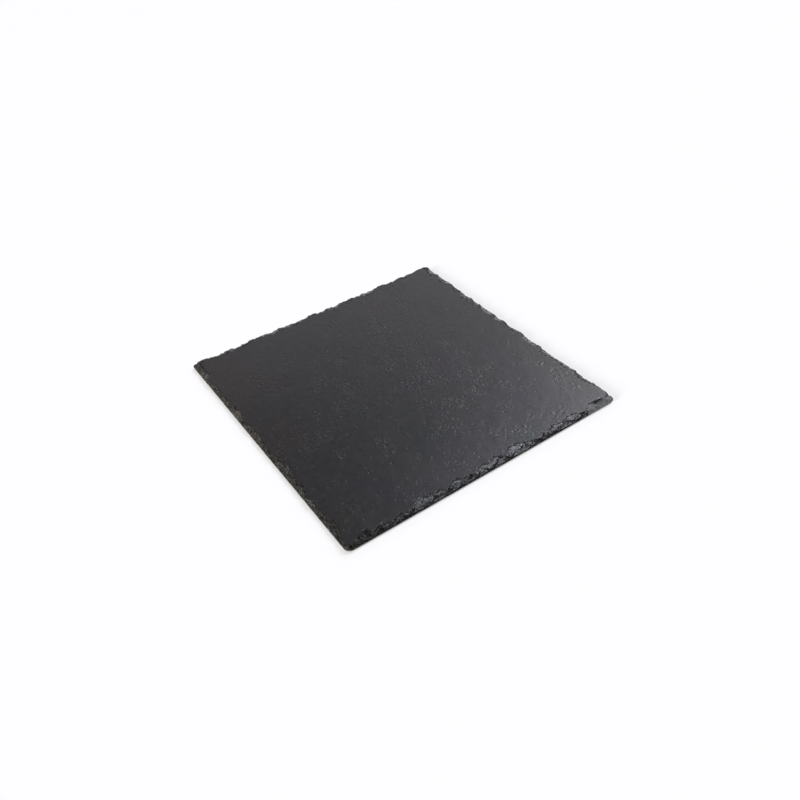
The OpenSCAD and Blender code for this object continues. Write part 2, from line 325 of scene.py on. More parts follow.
# Formula: how far the split face lies below its highest plane at (x, y): broad swells, ripples along the
# grain, cleaved plates a layer apart, and scales and dents in patches, clipped so that none rises above it
def rivenRelief(x, y, values, seed):
    angle = math.radians(values["grainAngle"])
    along = x * math.cos(angle) + y * math.sin(angle)
    across = -x * math.sin(angle) + y * math.cos(angle)
    length, width = values["broadSize"]
    swell = values["broad"] * (1 + cloud(x / length, y / width, seed, 2))
    length, width = values["rippleSize"]
    ripple = values["ripple"] * (1 + cloud(along / length, across / width, seed + 20, 3))
    length, width = values["plateSize"]
    level = values["plateCount"] * (cloud(along / length, across / width, seed + 40, 4) + 1)
    whole = np.floor(level)
    plates = values["plateStep"] * (whole + smoothStep(values["plateFlat"], 1.0, level - whole)) / 2
    size, outside = values["patchSize"], values["outsidePatches"]
    patch = smoothStep(*values["patchEdge"], cloud(x / size, y / size, seed + 60, 3))
    patch = outside + (1 - outside) * patch
    size = values["scaleSize"]
    fine = cloud(along / size / values["scaleStretch"], across / size, seed + 70, 2)
    fine = scattered(fine, values["scaleLimit"])
    depth = swell + ripple + plates + values["scale"] * (1 + values["scaleHeight"] * patch * fine)
    return np.clip(depth - values["clearance"], 0, None)


radii = np.array(slab["cornerRadii"])
radiiBefore = np.roll(radii, 1)
sideSpans = np.array([slab["size"][0], slab["size"][1]] * 2)
cornerLengths = radii * math.pi / 2
sideLengths = sideSpans - radii - radiiBefore
sideStarts = np.concatenate([[0], np.cumsum(sideLengths + cornerLengths)[:3]])
rimLength = float(np.sum(sideLengths + cornerLengths))
flakeCount = round(rimLength / rimBreak["flakeLength"])


# Formula: turns a point seen from the front side, (along, out), a quarter turn for each side passed
def turnToSide(along, out, side):
    facing = side * math.pi / 2
    return along * np.cos(facing) + out * np.sin(facing), along * np.sin(facing) - out * np.cos(facing)


# Formula: a rectangle with rounded corners drawn in by inset, its radii kept, at a place along its rim
def rimPoint(place, inset):
    place = place % rimLength
    side = np.searchsorted(sideStarts, place, side="right") - 1
    local = place - sideStarts[side]
    share = np.clip(local / sideLengths[side], 0, 1)
    turn = np.clip((local - sideLengths[side]) / cornerLengths[side], 0, 1) * math.pi / 2
    half = sideSpans[side] / 2 - inset
    start, end = radiiBefore[side] - half, half - radii[side]
    along = start + (end - start) * share + radii[side] * np.sin(turn)
    out = sideSpans[(side + 1) % 4] / 2 - inset - radii[side] * (1 - np.cos(turn))
    return turnToSide(along, out, side)


# Formula: a rectangle with sharp corners drawn in by inset, at a share of the way round from the front left
def squarePoint(share, inset):
    side = np.floor(share * 4).astype(int) % 4
    half = sideSpans[side] / 2 - inset
    along = half * (2 * (share * 4 - np.floor(share * 4)) - 1)
    return turnToSide(along, sideSpans[(side + 1) % 4] / 2 - inset, side)


# Formula: each quarter of the stations runs evenly from the middle of one corner to the middle of the next
def stationPlaces(share):
    side = np.floor(share * 4).astype(int)
    before, after = np.roll(cornerLengths, 1)[side] / 2, cornerLengths[side] / 2
    return sideStarts[side] - before + (share * 4 - side) * (before + sideLengths[side] + after)


# Formula: one value for each side, blended over a short way at the corners
def alongSides(place, values):
    blend = slab["cornerBlend"]
    known = (sideStarts[:, None] + np.stack([np.full(4, blend), sideLengths - blend], 1)).ravel()
    return np.interp(place % rimLength, known, np.repeat(values, 2), period=rimLength)


# Turns a table's places, shares of each side, into places along the rim
def alongRim(shares):
    return [(sideStarts[side] + middle * sideLengths[side], *rest)
            for side, name in enumerate(sideNames) for middle, *rest in shares[name]]


# Formula: straight lines between the known shares, once round the rim
def paleAndLitShare(place):
    places, shares = zip(*alongRim(paleAndLitShares))
    return np.interp(place, places, shares, period=rimLength)


# Formula: one flake's scar is a shell. It reaches in by a skewed bow along its length, starts at a base
# height at the rim and climbs to the face as (inset / reach) to a power. Deep, from 0 to 1, turns its start
# into a bowl's floor. The shell also gives the share of the way in, where it starts well below the face.
def shell(place, inset, centre, half, reach, base, power, number, deep=0.0):
    gap = place - centre
    u = (gap - rimLength * np.round(gap / rimLength)) / half
    skewed = u + rimBreak["skew"] * (scatter(number, 9) - 0.5) * (1 - u * u)
    squareness = rimBreak["squareness"] - rimBreak["hollowSquareness"] * deep * (u > 0)
    bow = reach * np.clip(1 - skewed * skewed, 0, 1) ** squareness
    tilt = (scatter(number, 8) - 0.5) * u
    start = np.minimum(base + tilt, full - rimBreak["leastDrop"])
    crack, depth, middle, halfLength = rimBreak["bowl"]
    bowl = full - crack - depth * np.clip(1 - ((u - middle) / halfLength) ** 2, 0, 1)
    start = start + (bowl - start) * deep
    share = inset / np.maximum(bow, rimBreak["leastBow"])
    height = start + (full - start) * share ** power
    within = (np.abs(u) < 1) & (bow > rimBreak["leastBow"])
    return np.where(within, height, full), np.where(full - start > rimBreak["deepDrop"], share, 0)


# Formula: the lowest of all shells and nicks at (place, inset), with facets added, then stepped into
# layers. It also gives how chipped the stone is: 1, but next to nothing on a hollow scar's smooth tread.
def brokenHeight(place, inset, x, y):
    ragged = smoothStep(*rimBreak["raggedInsets"], inset)
    reach, size, seed = rimBreak["wanderAlong"]
    place = place + reach * cloud(x / size, y / size, seed, 3)
    reach, size, seed = rimBreak["chipShift"]
    chipShift = reach * ragged * chipFacets(x, y, size, seed)
    reach, size, seed = rimBreak["wanderIn"]
    smooth = inset + reach * ragged * cloud(x / size, y / size, seed, 3)
    inside = np.clip(smooth + chipShift, 0, None)
    height = np.full(inset.shape, full)
    chipped = np.ones(inset.shape)
    foot = rimBreak["shearedHeight"]
    startShare, hollowStart = rimBreak["scarStart"]
    plainPower, hollowPower = rimBreak["scarPower"]
    bowlSmooth, smoothUntil, chippedFrom = rimBreak["bowlSmooth"]
    for number, (centre, length, depth, hollow) in enumerate(alongRim(scarShares)):
        half, reach, deep = length * rimBreak["scarHalfLength"], depth * rimBreak["scarDepth"], hollow ** 4
        base = foot + (full - foot) * (startShare - hollowStart * hollow) * (0.5 + scatter(number, 5))
        power = plainPower + hollowPower * hollow ** 2
        edge = np.clip(smooth + chipShift * (1 - rimBreak["bowlCalm"] * hollow ** 3), 0, None)
        scar, share = shell(place, edge, centre, half, reach, base, power, number, deep)
        tread = bowlSmooth * deep * (1 - smoothStep(smoothUntil, chippedFrom, share))
        chipped = np.where(scar < height, 1 - tread, chipped)
        height = np.minimum(height, scar)
        lean = (scatter(number, 1) - 0.5) * half
        thin = full - thinFlakes["thickness"] - thinFlakes["chanceThickness"] * scatter(number, 6)
        further = alongSides(centre, thinFlakes["reach"]) + thinFlakes["chanceReach"] * scatter(number, 7)
        further = reach + further * (1 - hollow ** 2)
        wide = (thinFlakes["width"] - thinFlakes["hollowWidth"] * deep) * half
        flake = shell(place, inside, centre - lean, wide, further, thin, thinFlakes["power"],
                      number + 200)[0]
        height = np.minimum(height, flake)
    for number, (centre, length, depth) in enumerate(alongRim(pocketShares)):
        half, reach = length * rimBreak["pocketHalfLength"], depth * rimBreak["pocketDepth"]
        pocket = shell(place, inside, centre, half, reach, foot * rimBreak["pocketStart"],
                       rimBreak["pocketPower"], number + 100)[0]
        height = np.minimum(height, pocket)
    depthShare = alongSides(place, rimBreak["nickSideShares"])
    for length, depth, rimShare, kind in rimBreak["nicks"]:
        count = round(rimLength / length)
        reach = rimBreak["edgeMargin"] + depth * depthShare * arcs(place / rimLength * count, kind, count)
        base = full * (rimShare + rimBreak["nickRise"] * drift(place / rimLength * count, kind + 2, count))
        height = np.minimum(height, base + (full - base) * (inside / reach) ** rimBreak["nickPower"])
    broken = smoothStep(*rimBreak["brokenDrop"], full - height)
    for size, rough, seed in rimBreak["chips"]:
        height = height + rough * chipped * broken * chipFacets(x, y, size, seed)
    height = np.minimum(height, full - rimBreak["leastBreak"] * broken)
    for thickness, flat in rimBreak["layers"]:
        part = height / thickness - np.floor(height / thickness)
        height = height + flat * thickness * broken * chipped * (smoothStep(*rimBreak["riser"], part) - part)
    return np.clip(height, foot * rimBreak["lowestShare"], full), chipped


# Formula: the profile is worked out on fine steps of inset, then a fixed number of rows is spread along
# each station's profile at equal steps of its length, so that rows gather on the steep breaks. All stations
# are read in one go: each has its own stretch of number line, which ends just short of the next one's.
def bandRows(place):
    steps = np.arange(0, slab["edgeBand"] + slab["profileStep"] / 2, slab["profileStep"])
    insets = np.broadcast_to(steps[:, None], (len(steps), len(place)))
    places = np.broadcast_to(place, insets.shape)
    x, y = rimPoint(places, insets)
    heights, chipped = brokenHeight(places, insets, x, y)
    broken = np.clip((full - heights[1:]) / slab["fullBreak"], 0, 1)
    whole, more, rise = slab["rowWeights"]
    lengths = np.diff(insets, axis=0) * (whole + more * broken) + rise * np.abs(np.diff(heights, axis=0))
    lengths = sum(np.roll(lengths, shift, 1) for shift in range(-slab["rowBlend"], slab["rowBlend"] + 1))
    shares = np.concatenate([np.zeros((1, len(place))), np.cumsum(lengths, 0)])
    shares = shares / shares[-1]
    station, stretch = np.arange(len(place)), 0.999
    wanted = np.linspace(0, 1, slab["bandRows"])[:, None] * stretch + station
    rowInsets = np.interp(wanted.T.ravel(), (shares * stretch + station).T.ravel(), insets.T.ravel())
    rowInsets = rowInsets.reshape(len(place), -1)
    known = (insets / slab["edgeBand"] * stretch + station).T.ravel()
    asked = (rowInsets / slab["edgeBand"] * stretch + station[:, None]).ravel()
    rowHeights, rowChipped = (np.interp(asked, known, values.T.ravel()).reshape(len(place), -1).T
                              for values in (heights, chipped))
    return rowInsets.T, rowHeights, rowChipped


# Formula: rows of (inset, height) up the sheared wall, then over the broken band onto the top face. The
# wall is as chipped as the edge above it, averaged over the stations beside it.
def rimRows(place):
    insets, heights, chipped = bandRows(place)
    x, y = rimPoint(place, np.zeros(place.shape))
    slanted = x + rimBreak["slant"] * y
    first = rimBreak["undersideSpall"]
    spall = first * drift(place / rimLength * flakeCount, 40, flakeCount)
    inner, outer = slab["wallFoot"]
    wallInsets = [np.full(place.shape, inner), spall + outer]
    wallHeights = [np.zeros(place.shape), np.zeros(place.shape)]
    depth, sizeAlong, sizeUp = rimBreak["wallRelief"]
    for share in np.linspace(0, 1, slab["wallRows"], endpoint=False):
        height = first + (heights[0] - first) * share
        relief = np.abs(cloud(slanted / sizeAlong, height / sizeUp, 91, 3))
        wallInsets.append(spall * (1 - share) / 4 + depth * relief)
        wallHeights.append(height)
    least, chance, size, end = rimBreak["edgeLean"]
    lean = least + chance * np.abs(cloud(slanted / size, heights[0], 95, 3))
    insets = insets + lean * (1 - smoothStep(0, end, insets))
    beside = range(-rimBreak["wallBlend"], rimBreak["wallBlend"] + 1)
    wallChipped = sum(np.roll(chipped[:1], shift, 1) for shift in beside) / len(beside)
    chipped = np.concatenate([np.repeat(wallChipped, len(wallInsets), 0), chipped])
    return np.concatenate([wallInsets, insets]), np.concatenate([wallHeights, heights]), chipped


# Joins two rings with the same number of points by triangles that face outwards
def ringFaces(low, high):
    lowNext, highNext = np.roll(low, -1, -1), np.roll(high, -1, -1)
    return np.concatenate([np.stack([low, lowNext, highNext], -1).reshape(-1, 3),
                           np.stack([low, highNext, high], -1).reshape(-1, 3)])


# Joins a ring to one with half as many points
def halvingFaces(fine, coarse):
    first, middle, last = fine[0::2], fine[1::2], np.roll(fine[0::2], -1)
    following = np.roll(coarse, -1)
    return np.concatenate([np.stack([first, middle, coarse], 1), np.stack([middle, following, coarse], 1),
                           np.stack([middle, last, following], 1)])


# The boundary of a square grid of point numbers, walked front, right, back, left
def gridBoundary(numbers):
    return np.concatenate([numbers[:-1, 0], numbers[-1, :-1], numbers[:0:-1, -1], numbers[0, :0:-1]])


# Splits each cell of a grid of point numbers into two triangles
def gridFaces(numbers):
    a, b = numbers[:-1, :-1].ravel(), numbers[1:, :-1].ravel()
    c, d = numbers[1:, 1:].ravel(), numbers[:-1, 1:].ravel()
    return np.concatenate([np.stack([a, b, c], 1), np.stack([a, c, d], 1)])


# A square grid of points over the slab, drawn in by inset, and the numbers of its points
def planeGrid(cells, inset, firstNumber):
    half = slab["size"][:2] / 2 - inset
    steps = np.linspace(-1, 1, cells + 1)
    x, y = np.meshgrid(half[0] * steps, half[1] * steps, indexing="ij")
    return x, y, firstNumber + np.arange(x.size).reshape(x.shape)


# Formula: a point's normal is the sum of its faces' cross products. Its ridge value is how far its
# neighbours fall below that normal's plane, as a mean sine: positive on ridges, negative in creases.
def surfaceValues(points, faces):
    a, b, c = (points[faces[:, corner]] for corner in range(3))
    across = np.cross(b - a, c - a)
    count = len(points)
    normals = np.stack([sum(np.bincount(faces[:, corner], across[:, axis], count) for corner in range(3))
                        for axis in range(3)], 1)
    normals = normals / np.linalg.norm(normals, axis=1, keepdims=True)
    start = np.concatenate([faces[:, 0], faces[:, 1], faces[:, 2]])
    end = np.concatenate([faces[:, 1], faces[:, 2], faces[:, 0]])
    run = points[end] - points[start]
    rise = np.sum(run * normals[start], 1) / np.linalg.norm(run, axis=1)
    ridge = -np.bincount(start, rise, count) / np.bincount(start, minlength=count)
    faceNormals = across / np.linalg.norm(across, axis=1, keepdims=True)
    return ridge, normals[:, 2], faceNormals


# Formula: rings of rows (inset, height) at every station of the rim, whose outline turns from rounded to
# square towards the inside, then square grids over the top and the underside. The split face's relief is
# taken off the height.
def buildSlab():
    stations = slab["stations"]
    share = np.arange(stations) / stations
    place = stationPlaces(share) % rimLength
    insets, heights, chipped = rimRows(place)
    places, shares = np.broadcast_to(place, insets.shape), np.broadcast_to(share, insets.shape)
    roundX, roundY = rimPoint(places, insets)
    squareX, squareY = squarePoint(shares, insets)
    sharp = smoothStep(slab["squaredFrom"], slab["edgeBand"], insets)
    x, y = roundX + (squareX - roundX) * sharp, roundY + (squareY - roundY) * sharp
    relief = rivenRelief(x, y, riven, riven["seed"]) * smoothStep(*slab["reliefRamp"], heights / full)
    z = slab["bottom"] + heights - relief
    numbers = np.arange(x.size).reshape(x.shape)
    points = [np.stack([x, y, z], 2).reshape(-1, 3)]
    broken = smoothStep(*slab["brokenRamp"], full - heights).ravel()
    faces = [ringFaces(numbers[:-1], numbers[1:])]

    # the top grid, stitched to every second station of the rim
    x, y, topNumbers = planeGrid(stations // 8, slab["edgeBand"], numbers.size)
    z = slab["bottom"] + full - rivenRelief(x, y, riven, riven["seed"])
    points.append(np.stack([x, y, z], 2).reshape(-1, 3))
    faces += [gridFaces(topNumbers), halvingFaces(numbers[-1], gridBoundary(topNumbers))]

    # the underside: a ring with half the stations, one with a quarter, then a coarse grid
    middle = topNumbers.max() + 1 + np.arange(stations // 2)
    quarter = middle.max() + 1 + np.arange(stations // 4)
    for ring, inset in zip((middle, quarter), slab["underRings"]):
        x, y = rimPoint(stationPlaces(np.arange(len(ring)) / len(ring)) % rimLength, inset)
        points.append(np.stack([x, y, np.full(x.shape, slab["bottom"])], 1))
    x, y, underNumbers = planeGrid(stations // 32, slab["underBand"], quarter.max() + 1)
    points.append(np.stack([x, y, slab["bottom"] + underRelief(x, y)], 2).reshape(-1, 3))
    for made in (halvingFaces(numbers[0], middle), halvingFaces(middle, quarter),
                 halvingFaces(quarter, gridBoundary(underNumbers)), gridFaces(underNumbers)):
        faces.append(made[:, ::-1])
    points, faces = np.concatenate(points), np.concatenate(faces)
    rest = np.zeros(len(points) - len(broken))
    values = {"broken": broken, "freshAndLit": paleAndLitShare(places).ravel(), "chipped": chipped.ravel()}
    return points, faces, {name: np.concatenate([made, rest]) for name, made in values.items()}


# Formula: the top's relief at another seed, faded to nothing round each foot's adhesive
def underRelief(x, y):
    relief = rivenRelief(x, y, riven, riven["underSeed"])
    inner, outer = slab["footClearance"]
    for name in ("front_left", "front_right", "back_left", "back_right"):
        low, high = (np.array(corner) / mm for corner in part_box("adhesive_" + name))
        centre, radius = (low + high) / 2, (high[0] - low[0]) / 2
        away = np.sqrt((x - centre[0]) ** 2 + (y - centre[1]) ** 2)
        relief = relief * smoothStep(radius + inner, radius + outer, away)
    return relief


# Points in mm become a mesh in metres, on an object that stays at the origin
def makeMesh(name, points, faces):
    mesh = bpy.data.meshes.new(name)
    mesh.from_pydata(points * mm, [], faces.tolist())
    mesh.update()
    piece = bpy.data.objects.new(name, mesh)
    bpy.context.scene.collection.objects.link(piece)
    return piece


def addPointValue(piece, name, values):
    attribute = piece.data.attributes.new(name, "FLOAT", "POINT")
    attribute.data.foreach_set("value", values.astype(np.float32))


slabPoints, slabFaces, slabValues = buildSlab()
slabRidge, slabUpright, slabFaceNormals = surfaceValues(slabPoints, slabFaces)
slateBoard = makeMesh("slateBoard", slabPoints, slabFaces)
slabValues.update(ridge=slabRidge, level=smoothStep(*slab["levelUpright"], slabUpright))
for name, values in slabValues.items():
    addPointValue(slateBoard, name, values)
print("highest point", slabPoints[:, 2].max())
upright, brokenShare = slab["steep"]
steepFaces = np.abs(slabFaceNormals[:, 2]) < upright
steepFaces &= np.mean(slabValues["broken"][slabFaces], 1) > brokenShare
slateBoard.data.polygons.foreach_set("use_smooth", np.ones(len(slabFaces), bool))
slateBoard.data.set_sharp_from_angle(angle=math.radians(slab["sharpAngle"]))
print("slate made:", len(slabFaces), "triangles,", int(steepFaces.sum()), "of them steep")


# Shader helpers
def addNode(tree, kind, **values):
    node = tree.nodes.new(kind)
    for key, value in values.items():
        setattr(node, key, value)
    return node


def setSocket(tree, socket, value):
    if isinstance(value, tuple):
        socket.default_value = (*value, 1) if len(socket.default_value) == 4 else value
    elif isinstance(value, (int, float)):
        socket.default_value = value
    else:
        tree.links.new(value, socket)


def setSockets(tree, node, values):
    for key, value in values.items():
        setSocket(tree, node.inputs[key], value)


def mathNode(tree, operation, *values):
    node = addNode(tree, "ShaderNodeMath", operation=operation)
    setSockets(tree, node, dict(enumerate(values)))
    return node.outputs[0]


def multiply(tree, first, second):
    return mathNode(tree, "MULTIPLY", first, second)


def multiplyAdd(tree, first, second, third):
    return mathNode(tree, "MULTIPLY_ADD", first, second, third)


def noiseNode(tree, vector, size, detail, roughness=0.5, distortion=0.0, output="Fac"):
    node = addNode(tree, "ShaderNodeTexNoise")
    setSockets(tree, node, {"Vector": vector, "Scale": 1 / (size * mm), "Detail": detail,
                            "Roughness": roughness, "Distortion": distortion})
    return node.outputs[output]


def cellNode(tree, vector, size, dimensions="3D"):
    node = addNode(tree, "ShaderNodeTexVoronoi", feature="F1", voronoi_dimensions=dimensions)
    setSockets(tree, node, {"Vector": vector, "Scale": 1 / (size * mm)})
    return node.outputs


def colourPart(tree, colour):
    node = addNode(tree, "ShaderNodeSeparateColor")
    setSocket(tree, node.inputs["Color"], colour)
    return node.outputs["Red"]


def rampNode(tree, value, low, high, toLow=0.0, toHigh=1.0):
    node = addNode(tree, "ShaderNodeMapRange", interpolation_type="SMOOTHSTEP")
    setSockets(tree, node, {"Value": value, "From Min": low, "From Max": high,
                            "To Min": toLow, "To Max": toHigh})
    return node.outputs["Result"]


# A ramp between two places in mm
def placeRamp(tree, value, low, high):
    return rampNode(tree, value, low * mm, high * mm)


def mixColour(tree, factor, first, second, blend="MIX"):
    node = addNode(tree, "ShaderNodeMix", data_type="RGBA", blend_type=blend)
    setSockets(tree, node, {0: factor, 6: first, 7: second})
    return node.outputs[2]


def mixValue(tree, factor, first, second):
    node = addNode(tree, "ShaderNodeMix", data_type="FLOAT")
    setSockets(tree, node, {0: factor, 2: first, 3: second})
    return node.outputs[0]


def vectorNode(tree, operation, first, second, output="Vector"):
    node = addNode(tree, "ShaderNodeVectorMath", operation=operation)
    setSockets(tree, node, {0: first, 1: second})
    return node.outputs[output]


def scaleColour(tree, colour, amount):
    node = addNode(tree, "ShaderNodeVectorMath", operation="SCALE")
    setSockets(tree, node, {0: colour, "Scale": amount})
    return node.outputs[0]


def mapped(tree, vector, turn=0.0, stretch=(1, 1, 1)):
    node = addNode(tree, "ShaderNodeMapping")
    setSockets(tree, node, {"Vector": vector, "Rotation": (0, 0, math.radians(turn)), "Scale": stretch})
    return node.outputs["Vector"]


def pointValue(tree, name):
    return addNode(tree, "ShaderNodeAttribute", attribute_name=name).outputs["Fac"]


def objectPlace(tree):
    return addNode(tree, "ShaderNodeTexCoord").outputs["Object"]


def bumpNode(tree, height):
    node = addNode(tree, "ShaderNodeBump")
    setSockets(tree, node, {"Strength": 1.0, "Distance": mm, "Height": height})
    return node.outputs["Normal"]


def newMaterial(name):
    material = bpy.data.materials.new(name)
    material.use_nodes = True
    tree = material.node_tree
    tree.nodes.clear()
    output = addNode(tree, "ShaderNodeOutputMaterial")
    shader = addNode(tree, "ShaderNodeBsdfPrincipled")
    tree.links.new(shader.outputs["BSDF"], output.inputs["Surface"])
    return material, tree, shader


# Slate's grain, shared by the cleaved and the broken faces. Sizes and places in mm. Here and in the finishes
# below, a ramp is given by its two ends and, where they aren't 0 and 1, by its values there.
stone = {
    "alongGrain": (0.8, 1, 1),
    "layerStretch": (1, 1, 9),
    "lineStretch": (1, 1, 14),
    "patchSize": 24,
    "patchRamp": (0.48, 0.62, 0.06, 1.0),
    "scaleSize": 3.2,
    "raised": (0.55, 0.72),
    "dented": (0.44, 0.28),
    "pitSpacing": 11,
    "pitRamp": (0.11, 0.05),
    "pitShare": (0.6, 0.9),  # which cells have a pit, and how deep
    "gritSize": 0.8,
    "leafSize": 3.2,
    "lineSize": 4.2,
    "fleckSpacing": 13,
    "fleckTurn": 31,
    "fleckRamp": (0.06, 0.03),
    "fleckShare": (0.7, 0.85),  # which cells have a fleck, and how strong
    "chipSize": 1.5,
    "chipJolt": (2.2, 1.8),  # size and reach of the noise that makes the chips uneven
    "slowSize": 48,
    "warmSide": (-13.0, 1.2, -1.9, 1.4),  # how warmth grows per metre of X and Y, its start and its noise
    "frontPatchLeft": (-95, -45),
    "frontPatchRight": (75, 15),
    "frontPatchFront": (-80, -130),
    "olivePlace": (142, 180),
    "oliveWander": 60,
    "smallPatchSize": 9,
    "fineSize": 6.5,
    "speckleSize": 1.7,
    "hueSize": 38,
}


# The stone is layered, so its broken height changes quickly with z and slowly along the layers. Height is
# in mm, and the tones and masks run from 0 to 1: warm and olive sides, a lighter patch at the front,
# patches, tones, speckle, lines of layers, pale flecks, a tone for each chip, the sheen's hue and how far up
# the stone is.
def buildStoneGrain(values):
    tree = bpy.data.node_groups.new("stoneGrain", "ShaderNodeTree")
    for name in ("Vector", "Scales", "Grit", "Layers", "Facets"):
        kind = "NodeSocketVector" if name == "Vector" else "NodeSocketFloat"
        tree.interface.new_socket(name=name, in_out="INPUT", socket_type=kind)
    entry = addNode(tree, "NodeGroupInput").outputs
    vector = entry["Vector"]
    parts = addNode(tree, "ShaderNodeSeparateXYZ")
    setSocket(tree, parts.inputs[0], vector)
    x, y, z = parts.outputs

    # relief of the split faces and of the layers
    patches = rampNode(tree, noiseNode(tree, vector, values["patchSize"], 3, 0.55), *values["patchRamp"])
    scales = noiseNode(tree, vector, values["scaleSize"], 1.5, 0.5, 0.4)
    uneven = mathNode(tree, "SUBTRACT", rampNode(tree, scales, *values["raised"]),
                      rampNode(tree, scales, *values["dented"]))
    pitted = cellNode(tree, vector, values["pitSpacing"], "2D")
    pits = multiply(tree, rampNode(tree, pitted["Distance"], *values["pitRamp"]),
                    rampNode(tree, colourPart(tree, pitted["Color"]), *values["pitShare"]))
    uneven = mathNode(tree, "SUBTRACT", multiply(tree, uneven, patches), pits)
    layered = mapped(tree, vector, 0, values["layerStretch"])
    leaves = noiseNode(tree, layered, values["leafSize"], 5, 0.62, 0.4)
    height = multiply(tree, uneven, entry["Scales"])
    height = multiplyAdd(tree, noiseNode(tree, vector, values["gritSize"], 4, 0.62), entry["Grit"], height)
    height = multiplyAdd(tree, leaves, entry["Layers"], height)

    # chips: uneven cells, each a tilted plane with its own tone
    joltSize, joltReach = values["chipJolt"]
    jolt = noiseNode(tree, vector, joltSize, 1.0, output="Color")
    warped = vectorNode(tree, "ADD", vector, scaleColour(tree, jolt, joltReach * mm))
    chips = cellNode(tree, warped, values["chipSize"])
    inCells = scaleColour(tree, warped, 1 / (values["chipSize"] * mm))
    gap = vectorNode(tree, "SUBTRACT", inCells, chips["Position"])
    tilt = vectorNode(tree, "SUBTRACT", chips["Color"], (0.5, 0.5, 0.5))
    facets = vectorNode(tree, "DOT_PRODUCT", gap, tilt, "Value")
    height = mathNode(tree, "ADD", height, multiply(tree, facets, entry["Facets"]))

    # where the stone is warm, lighter at the front or olive
    slow = noiseNode(tree, vector, values["slowSize"], 3, 0.5)
    slopeX, slopeY, start, wander = values["warmSide"]
    sideways = multiplyAdd(tree, y, slopeY, multiplyAdd(tree, x, slopeX, start))
    warm = rampNode(tree, multiplyAdd(tree, slow, wander, sideways), 0.0, 0.8)
    frontPatch = multiply(tree, placeRamp(tree, x, *values["frontPatchLeft"]),
                       placeRamp(tree, x, *values["frontPatchRight"]))
    frontPatch = multiply(tree, frontPatch, placeRamp(tree, y, *values["frontPatchFront"]))
    olive = placeRamp(tree, multiplyAdd(tree, slow, values["oliveWander"] * mm, x), *values["olivePlace"])

    lineVector = mapped(tree, vector, 0, values["lineStretch"])
    grainVector = mapped(tree, vector, -riven["grainAngle"], values["alongGrain"])
    spots = cellNode(tree, mapped(tree, vector, values["fleckTurn"]), values["fleckSpacing"], "2D")
    results = {
        "Height": height,
        "Warm Side": warm,
        "Patches": noiseNode(tree, vector, values["smallPatchSize"], 2, 0.5),
        "Fine Tone": noiseNode(tree, grainVector, values["fineSize"], 5, 0.62),
        "Speckle": noiseNode(tree, vector, values["speckleSize"], 4, 0.65),
        "Layer Lines": noiseNode(tree, lineVector, values["lineSize"], 4, 0.6),
        "Flecks": multiply(tree, rampNode(tree, spots["Distance"], *values["fleckRamp"]),
                           rampNode(tree, colourPart(tree, spots["Color"]), *values["fleckShare"])),
        "Chip Tone": colourPart(tree, chips["Color"]),
        "Hue": noiseNode(tree, vector, values["hueSize"], 2, 0.5),
        "Front Patch": frontPatch,
        "Olive Side": olive,
        "Rise": placeRamp(tree, z, slabLow[2], slabHigh[2]),
    }
    for name in results:
        tree.interface.new_socket(name=name, in_out="OUTPUT", socket_type="NodeSocketFloat")
    setSockets(tree, addNode(tree, "NodeGroupOutput"), results)
    return tree


stoneGrain = buildStoneGrain(stone)


def grainNode(tree, values, facets):
    grain = addNode(tree, "ShaderNodeGroup")
    grain.node_tree = stoneGrain
    setSockets(tree, grain, {"Scales": values["scales"], "Grit": values["grit"], "Layers": values["layers"],
                             "Facets": facets, "Vector": objectPlace(tree)})
    return grain.outputs


cleaved = {
    "cool": (0.0105, 0.0104, 0.0120),
    "warm": (0.0125, 0.0108, 0.0100),
    "frontPatchColour": (0.0125, 0.0130, 0.0140),
    "fleck": (0.10, 0.10, 0.10),
    "fleckShare": 0.6,
    "fineTone": (0.3, 0.7, 0.85, 1.15),
    "pale": (0.173, 0.181, 0.190),
    "paleWarm": (0.088, 0.083, 0.070),
    # painted highlight on the fresh stone's ridges and painted shade in its creases
    "ridgeHighlightCreaseShade": (-0.25, 0.3, 0.4, 1.28),
    "riseTone": (0.1, 0.95, 0.72, 1.12),  # the fresh stone's tone by height: darker towards the foot of the break
    "chipTone": (0.0, 1.0, 0.66, 1.3),
    "treadTone": 0.66,  # in place of these two, on a hollow scar's smooth tread
    "palePatches": (0.34, 0.56, 0.4, 1.3),  # how much of the fresh stone keeps its pale tone, by patch, speckle and side
    "paleSpeckle": (0.34, 0.6, 0.25, 1.3),
    "paleLitSides": (0.2, 1.3, 0.6, 1.4),
    "darkShare": 0.08,
    "sheen": (0.3, 0.7, 0.335, 0.355),  # the face's roughness
    "brokenRoughness": 0.6,
    "specular": 0.5,
    "creaseSpecular": 0.12,
    "tealHue": (0.45, 0.3),
    "tealSheen": (0.88, 1.0, 0.97),
    "purpleHue": (0.56, 0.72),
    "purpleSheen": (1.0, 0.955, 1.05),
    "oliveSheen": (1.0, 1.0, 0.93),
    "scales": 0.09,
    "grit": 0.006,
    "brokenGrit": 0.10,
    "layers": 0.004,
    "facets": 0.22,
}
